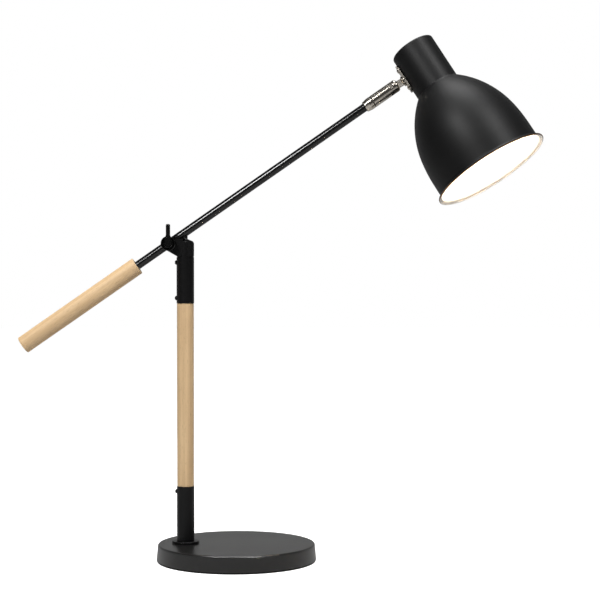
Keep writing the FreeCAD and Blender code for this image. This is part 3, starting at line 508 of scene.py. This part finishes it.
class LampScrews(bpy.types.PropertyGroup):
    """Sizes of the domed screw heads."""

    head_radius: length("Head radius", "Radius of a head", 0.0028)
    post_head_height: length("Post head", "Height of a head on the post", 0.0023)
    plate_head_height: length("Plate head", "Height of a head on the plate", 0.0017)
    recess_reach: share("Recess reach", "Reach of the cross as a share of the radius", 0.58)
    recess_width: share("Recess width", "Width of the cross as a share of the radius", 0.30)
    recess_depth: share("Recess depth", "Depth of the cross as a share of the height", 0.5)
    recess_floor: share("Recess floor", "Least height in the cross as a share", 0.2)
    crown: share("Crown", "Radius of the last ring as a share of the radius", 0.004)
    sink: length("Sink", "Depth of the head's edge below its seat", 0.0001)
    middle_rise: length("Middle screw", "Height of the middle screw in its sleeve", 0.006)
    post_turn: FloatProperty(name="Post turn", description="Turn of the lowest post screw",
                             default=0.4, unit="ROTATION")
    plate_turn: FloatProperty(name="Plate turn", description="Turn of the first plate screw",
                              default=0.9, unit="ROTATION")
    plate_step: length("Plate step", "Distance of a plate screw from the plate's middle", 0.012)
    plate_face: length("Plate face", "Distance of the plate's face from the shade's axis", 0.0287)
    recess_steps: IntProperty(name="Steps", description="Rings of a head", default=40, min=4)
    sides: IntProperty(name="Sides", description="Points round a head", default=96, min=12)


class LampHead(bpy.types.PropertyGroup):
    """Sizes of the squared cheeks of the head, from the post's axis."""

    low: length("Low end", "Height at which the cheeks square off", 0.3590)
    top: length("Top", "Height of the head's flat top", 0.37938)
    inner: length("Inner face", "Distance of the inner face from the middle", 0.00605)
    outer: length("Outer face", "Distance of the outer face from the middle", 0.0095)
    reach: length("Reach", "Distance of the far side from the post's axis", 0.010)
    corner: length("Corner", "Radius of the upright corner", 0.004)
    bevel_start: length("Bevel start", "Where the bevel leaves the flat top", 0.002)
    bevel_end: length("Bevel end", "Where the bevel meets the rounded edge", 0.0075)
    bevel_drop: length("Bevel drop", "Drop of the bevel", 0.0024)
    edge_drop: length("Edge drop", "Further drop of the rounded edge", 0.0028)
    edge_power: FloatProperty(name="Edge", description="Roundness of the edge", default=1.6)
    soft: length("Soft edge", "Bevel along the top's outer edge", 0.0004)
    lap: length("Lap", "How far the far side stops short of closing", 0.0001)
    steps: IntProperty(name="Steps", description="Rings of a cheek", default=36, min=8)


class LampLead(bpy.types.PropertyGroup):
    """Sizes of the bent lead between the head and the arm."""

    radius: length("Radius", "Radius of the lead", 0.0028)
    bend: length("Bend", "Radius of the bend's middle line", 0.009)
    low: length("Low end", "Height at which it leaves the post's bore", 0.3586)
    entry: length("Entry", "Distance of the post's axis from the pivot", 0.019)
    tail: length("Tail", "Straight run in the rod after the bend", 0.004)
    sides: IntProperty(name="Sides", description="Points round the lead", default=32, min=8)
    straight_steps: IntProperty(name="Straight steps", default=8, min=1,
                                description="Rings along the straight run before the bend")
    steps: IntProperty(name="Steps", description="Rings along the bend", default=40, min=4)


class LampStudio(bpy.types.PropertyGroup):
    """Camera, lights, floor and backdrop."""

    lens: FloatProperty(name="Lens", description="Focal length in millimetres", default=102.0)
    camera_x: length("Camera X", "Camera to the right", 0.0749)
    camera_back: length("Camera distance", "Camera in front of the lamp", 2.0)
    camera_z: length("Camera height", "Camera above the floor", 0.3521)
    camera_pitch: FloatProperty(name="Pitch", description="Degrees below the horizon",
                                default=1.28)
    sensor: FloatProperty(name="Sensor", description="Width in millimetres", default=36.0)
    room: share("Room", "Brightness of the room that the metal reflects", 0.035)
    aim: place("Aim", "Point that the softboxes look at", (0.05, 0.0, 0.4))
    top_place: place("Top place", "Place of the overhead softbox", (0.1, 0.1, 1.9))
    top_width: length("Top width", "Width of the overhead softbox", 0.9)
    top_depth: length("Top depth", "Depth of the overhead softbox", 0.7)
    top_power: FloatProperty(name="Top", description="Watts of the overhead softbox", default=17.0)
    side_width: length("Side width", "Width and height of the two side softboxes", 0.42)
    key_place: place("Key place", "Place of the left softbox", (-0.8, -1.35, 1.6))
    key_power: FloatProperty(name="Key", description="Watts of the left softbox", default=26.0)
    fill_place: place("Fill place", "Place of the right softbox", (0.97, -0.91, 1.87))
    fill_power: FloatProperty(name="Fill", description="Watts of the right softbox", default=17.0)
    bounce: share("Bounce", "Tone of the floor and backdrop in reflections", 0.45)
    floor_glow: share("Floor glow", "Light of the floor in reflections", 0.055)
    backdrop_glow: share("Backdrop glow", "Light of the backdrop in reflections", 0.13)
    floor_size: length("Floor", "Width of the floor and backdrop", 14.0)
    backdrop_start: length("Backdrop start", "Where the backdrop leaves the floor", 1.4)
    backdrop_bend: length("Backdrop bend", "Radius at the foot of the backdrop", 1.0)
    backdrop_height: length("Backdrop height", "Height of the backdrop", 3.2)
    backdrop_gap: length("Backdrop gap", "Gap between the floor and the backdrop", 0.001)
    fade_start: length("Fade start", "Where the floor starts to fade to white", 0.25)
    fade_end: length("Fade end", "Where the floor is pure white", 0.7)
    bend_steps: IntProperty(name="Bend steps", description="Strips of the bend", default=24, min=4)
    floor_tone: share("Floor tone", "Tone of the floor and backdrop for the camera", 0.86)
    floor_lift: share("Floor lift", "Light added to the floor for the camera", 0.8)


# ---- operators ----
class LAMP_OT_metal(bpy.types.Operator):
    """Paints and plates the metal pieces"""

    bl_idname = "lamp.metal"
    bl_label = "Metal pieces"

    def execute(self, context):
        c = context.scene.lamp_colours
        black = powder_coat("black_coat", c.black, c.coat_roughness)
        paint(black, "post_foot", "lower_sleeve", "upper_sleeve", "head_fork")
        paint(powder_coat("rod_coat", c.black, c.rod_roughness, 0.000003, 0.5), "arm_rod")
        paint(powder_coat("base_coat", c.base_black, c.base_roughness, shine=0.9), "base_cover")
        paint(powder_coat("knob_enamel", c.knob_black, 0.17, 0.00001, 0.7), "clamp_knob")
        blackened = sheet_metal("black_oxide", c.black, 0.35, 0.2)
        paint(blackened, "pivot_bolt", "knob_washer", "collar_screw", "sleeve_screws")
        zinc = sheet_metal("zinc_plate", c.zinc, 0.34)
        paint(zinc, "base_washer", "base_nut", "post_stud", "knob_nut", "swivel_stud",
              "weight_core", "holder_bracket", "holder_nipple", "holder_nut")
        nickel = turned_metal("nickel_plate", c.nickel, c.nickel_roughness, HINGE, ROD_AXIS)
        paint(nickel, "knuckle_collar", "knuckle_barrel", "hinge_screws")
        flat_nickel = sheet_metal("nickel_sheet", c.nickel, c.nickel_roughness)
        paint(flat_nickel, "knuckle_tongue", "mounting_plate", "plate_screws")
        paint(sheet_metal("bare_brass", c.brass, 0.3), "barrel_ring", "holder_contacts")
        paint(cast_metal("cast_iron", c.iron, 0.6), "base_weight")
        paint(sheet_metal("cap_shell", c.zinc, 0.25), "bulb_cap")
        return {"FINISHED"}


class LAMP_OT_wood(bpy.types.Operator):
    """Gives the dowel and the counterweight their grain"""

    bl_idname = "lamp.wood"
    bl_label = "Wooden pieces"

    def execute(self, context):
        c = context.scene.lamp_colours
        up = Vector((0.0, 0.0, 1.0))
        dowel = timber("dowel_wood", c.wood_light, c.wood_dark, c.wood_roughness,
                       POST_AXIS, up, 1, c.wood_ends)
        paint(dowel, "post_dowel")
        weight = timber("weight_wood", c.wood_light, c.wood_dark, c.wood_roughness,
                        PIVOT, ROD_AXIS, 5, c.wood_ends)
        paint(weight, "counterweight")
        return {"FINISHED"}


class LAMP_OT_plastic(bpy.types.Operator):
    """Finishes the moulded pieces, the sheet under the base and the leads"""

    bl_idname = "lamp.plastic"
    bl_label = "Moulded pieces"

    def execute(self, context):
        c = context.scene.lamp_colours
        paint(moulded("black_nylon", c.black, 0.4), "cord_bush", "saddle_washers",
              "weight_bush", "swivel_washer")
        paint(moulded("pad_rubber", c.black, 0.75, 0.00008), "base_pad")
        paint(moulded("lead_sheath", c.black, 0.38), "post_lead", "pivot_lead", "arm_lead")
        paint(moulded("lead_core", c.core, 0.4), "shade_lead")
        paint(moulded("holder_black", c.knob_black, 0.25), "holder_cap", "holder_body")
        return {"FINISHED"}


class LAMP_OT_shade(bpy.types.Operator):
    """Coats the shade and lights the lamp in it"""

    bl_idname = "lamp.shade"
    bl_label = "Shade and lamp"

    def execute(self, context):
        c = context.scene.lamp_colours
        paint(bell_coat("bell_coat", c), "shade_shell")
        paint(moulded("lamp_body", c.lamp_body, 0.3), "bulb_body")
        paint(opal("opal", c), "bulb_dome")
        return {"FINISHED"}


class LAMP_OT_screws(bpy.types.Operator):
    """Builds the screw heads with their cross recess"""

    bl_idname = "lamp.screws"
    bl_label = "Screw heads"

    def execute(self, context):
        s = context.scene.lamp_screws
        c = context.scene.lamp_colours
        dark = sheet_metal("screw_black", c.black, 0.35, 0.2)
        low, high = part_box("sleeve_screws")
        if high.x - low.x < 2 * s.post_head_height:
            raise RuntimeError("the post's screws are shorter than their heads")
        left = Vector((-1.0, 0.0, 0.0))
        seat_x = low.x + s.post_head_height
        levels = (low.z + s.head_radius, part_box("upper_sleeve")[0].z + s.middle_rise,
                  high.z - s.head_radius)
        for i, z in enumerate(levels):
            # each head is turned one radian further than the one below
            head = domed_screw("sleeve_screw_%d" % i, Vector((seat_x, 0.0, z)), left,
                               s.post_turn + i, s.post_head_height, s)
            head.data.materials.append(dark.material)
            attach(head, "stand")
            if i == 0:
                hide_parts("sleeve_screws")
        bright = sheet_metal("screw_nickel", c.nickel, c.nickel_roughness)
        for i, step in enumerate((-s.plate_step, s.plate_step)):
            seat = SHADE_FOOT + SHADE_AXIS * step - SHADE_OUT * s.plate_face
            head = domed_screw("plate_screw_%d" % i, seat, -SHADE_OUT, s.plate_turn + i,
                               s.plate_head_height, s)
            head.data.materials.append(bright.material)
            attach(head, "shade")
            if i == 0:
                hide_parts("plate_screws")
        return {"FINISHED"}


class LAMP_OT_head(bpy.types.Operator):
    """Squares the two cheeks of the head on the side of the shade"""

    bl_idname = "lamp.head"
    bl_label = "Head cheeks"

    def execute(self, context):
        s = context.scene.lamp_head
        c = context.scene.lamp_colours
        coat = powder_coat("cheek_coat", c.black, c.coat_roughness)
        up = Vector((0.0, 0.0, 1.0))
        turn_at = s.reach - s.corner
        start = -s.bevel_start
        narrow = s.inner - s.outer + s.corner + s.lap
        end = turn_at + math.sqrt(s.corner ** 2 - narrow ** 2)
        for name, side in (("head_cheek_front", -1.0), ("head_cheek_back", 1.0)):
            rings = []
            for i in range(s.steps + 1):
                x = start + (end - start) * math.sin(math.pi / 2 * i / s.steps)
                past_corner = max(0.0, x - turn_at)
                wide = s.outer - s.corner + math.sqrt(s.corner ** 2 - past_corner ** 2)
                slope = min(max((x - s.bevel_start) / (s.bevel_end - s.bevel_start), 0.0), 1.0)
                bend = max(0.0, (x - s.bevel_end) / (s.reach - s.bevel_end))
                high = s.top - s.bevel_drop * slope - s.edge_drop * bend ** s.edge_power
                inner = POST_AXIS + Vector((x, side * s.inner, 0.0))
                outer = POST_AXIS + Vector((x, side * wide, 0.0))
                soft = POST_AXIS + Vector((x, side * (wide - s.soft), 0.0))
                ring = [inner + up * s.low, outer + up * s.low, outer + up * (high - s.soft),
                        soft + up * high, inner + up * high]
                rings.append(ring if side > 0 else list(reversed(ring)))
            cheek = grid_mesh(name, rings)
            for polygon in cheek.data.polygons:
                polygon.use_smooth = False
            cheek.data.materials.append(coat.material)
            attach(cheek, "stand")
        return {"FINISHED"}


class LAMP_OT_lead(bpy.types.Operator):
    """Builds the lead that bends between the head and the arm"""

    bl_idname = "lamp.lead"
    bl_label = "Bent lead"

    def execute(self, context):
        s = context.scene.lamp_lead
        c = context.scene.lamp_colours
        up = Vector((0.0, 0.0, 1.0))
        corner = PIVOT + ROD_AXIS * (s.entry / math.cos(ARM_ANGLE))
        turn = math.acos(up.dot(ROD_AXIS))
        reach = s.bend * math.tan(turn / 2)
        start = Vector((POST_AXIS.x, 0.0, s.low))
        enter = corner - up * reach
        leave = corner + ROD_AXIS * reach
        end = leave + ROD_AXIS * s.tail
        side = (ROD_AXIS - up * ROD_AXIS.dot(up)).normalized()
        centre = enter + side * s.bend
        rings = []
        for i in range(s.straight_steps):
            spot = start.lerp(enter, i / s.straight_steps)
            rings.append(ring_of(spot, up, s.radius, s.sides))
        for i in range(s.steps + 1):
            angle = turn * i / s.steps
            spot = centre - side * (s.bend * math.cos(angle)) + up * (s.bend * math.sin(angle))
            heading = (up * math.cos(angle) + side * math.sin(angle)).normalized()
            rings.append(ring_of(spot, heading, s.radius, s.sides))
        rings.append(ring_of(end, ROD_AXIS, s.radius, s.sides))
        lead = grid_mesh("lead_bend", rings)
        lead.data.materials.append(moulded("lead_bend_sheath", c.black, 0.38).material)
        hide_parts("pivot_lead")
        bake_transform(lead)
        return {"FINISHED"}


class LAMP_OT_studio(bpy.types.Operator):
    """Sets up the camera, the lights, the floor and the room"""

    bl_idname = "lamp.studio"
    bl_label = "Studio"

    def softbox(self, name, spot, aim, width, height, power):
        data = bpy.data.lights.new(name, "AREA")
        data.shape = "RECTANGLE"
        data.size = width
        data.size_y = height
        data.energy = power
        lamp = bpy.data.objects.new(name, data)
        bpy.context.scene.collection.objects.link(lamp)
        lamp.location = spot
        lamp.rotation_euler = (Vector(aim) - Vector(spot)).to_track_quat("-Z", "Y").to_euler()

    def white(self, name, s, glow):
        """White for the camera, a duller tone for the lamp's reflections."""
        white = Finish(name, Roughness=0.9)
        seen = white.camera_ray()
        white.feed("Base Color", white.mix(seen, grey(s.bounce), grey(s.floor_tone)))
        # it fades to pure white away from the base, whose shadow stays
        away = white.vector("LENGTH", white.place()).ramp(s.fade_start, s.fade_end)
        lift = white.mix(away, grey(s.floor_lift), grey(1.0))
        white.feed("Emission Color", white.mix(seen, grey(glow), lift))
        white.shader.inputs["Emission Strength"].default_value = 1.0
        return white.material

    def sheet(self, name, line, width, material):
        """A sheet drawn out sideways from a line of (y, z) points."""
        half = width / 2
        points = [(x, y, z) for y, z in line for x in (-half, half)]
        faces = [(2 * i, 2 * i + 1, 2 * i + 3, 2 * i + 2) for i in range(len(line) - 1)]
        mesh = bpy.data.meshes.new(name)
        mesh.from_pydata(points, [], faces)
        mesh.materials.append(material)
        sheet = bpy.data.objects.new(name, mesh)
        bpy.context.scene.collection.objects.link(sheet)
        return sheet

    def execute(self, context):
        s = context.scene.lamp_studio
        scene = context.scene
        data = bpy.data.cameras.new("camera")
        data.lens = s.lens
        data.sensor_width = s.sensor
        data.clip_start = 0.05
        data.clip_end = 50.0
        camera = bpy.data.objects.new("camera", data)
        scene.collection.objects.link(camera)
        camera.location = (s.camera_x, -s.camera_back, s.camera_z)
        camera.rotation_euler = (math.radians(90.0 - s.camera_pitch), 0.0, 0.0)
        scene.camera = camera

        reach = s.floor_size / 2
        self.sheet("floor", [(-reach, 0.0), (reach, 0.0)], s.floor_size,
                   self.white("floor_white", s, s.floor_glow))
        # the backdrop only shows in reflections, so that the lamp can be seen from behind
        bend = [math.pi / 2 * i / s.bend_steps for i in range(s.bend_steps + 1)]
        line = [(s.backdrop_start + s.backdrop_bend * math.sin(turn),
                 s.backdrop_bend * (1.0 - math.cos(turn)) + s.backdrop_gap) for turn in bend]
        line.append((s.backdrop_start + s.backdrop_bend, s.backdrop_height))
        backdrop = self.sheet("backdrop", line, s.floor_size,
                              self.white("backdrop_white", s, s.backdrop_glow))
        backdrop.visible_camera = False

        world = bpy.data.worlds.new("room")
        world.use_nodes = True
        scene.world = world
        room = Nodes(world.node_tree, world.node_tree.nodes["Background"])
        room.feed("Color", room.mix(room.camera_ray(), grey(s.room), grey(1.0)))

        self.softbox("top_box", s.top_place, s.aim, s.top_width, s.top_depth, s.top_power)
        self.softbox("key_box", s.key_place, s.aim, s.side_width, s.side_width, s.key_power)
        self.softbox("fill_box", s.fill_place, s.aim, s.side_width, s.side_width, s.fill_power)
        scene.view_settings.view_transform = "Standard"
        return {"FINISHED"}


class LAMP_PT_panel(bpy.types.Panel):
    """Panel of the lamp's operators and settings"""

    bl_label = "Balance desk lamp"
    bl_idname = "LAMP_PT_panel"
    bl_space_type = "VIEW_3D"
    bl_region_type = "UI"
    bl_category = "Lamp"

    def draw(self, context):
        for operator in OPERATORS:
            self.layout.operator(operator.bl_idname)
        for name, group in GROUPS.items():
            box = self.layout.box()
            box.label(text=group.__doc__)
            values = getattr(context.scene, name)
            for key in group.__annotations__:
                box.prop(values, key)


OPERATORS = (LAMP_OT_metal, LAMP_OT_wood, LAMP_OT_plastic, LAMP_OT_shade, LAMP_OT_screws,
             LAMP_OT_head, LAMP_OT_lead, LAMP_OT_studio)
GROUPS = {"lamp_colours": LampColours, "lamp_screws": LampScrews, "lamp_head": LampHead,
          "lamp_lead": LampLead, "lamp_studio": LampStudio}


def register():
    for cls in (*GROUPS.values(), *OPERATORS, LAMP_PT_panel):
        bpy.utils.register_class(cls)
    for name, group in GROUPS.items():
        setattr(bpy.types.Scene, name, PointerProperty(type=group))


def unregister():
    for name in GROUPS:
        delattr(bpy.types.Scene, name)
    for cls in reversed((*GROUPS.values(), *OPERATORS, LAMP_PT_panel)):
        bpy.utils.unregister_class(cls)


def main():
    register()
    FRAME.update(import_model())
    bpy.ops.lamp.metal()
    bpy.ops.lamp.wood()
    bpy.ops.lamp.plastic()
    bpy.ops.lamp.shade()
    bpy.ops.lamp.screws()
    bpy.ops.lamp.head()
    bpy.ops.lamp.lead()
    bpy.ops.lamp.studio()


if __name__ == "__main__":
    main()
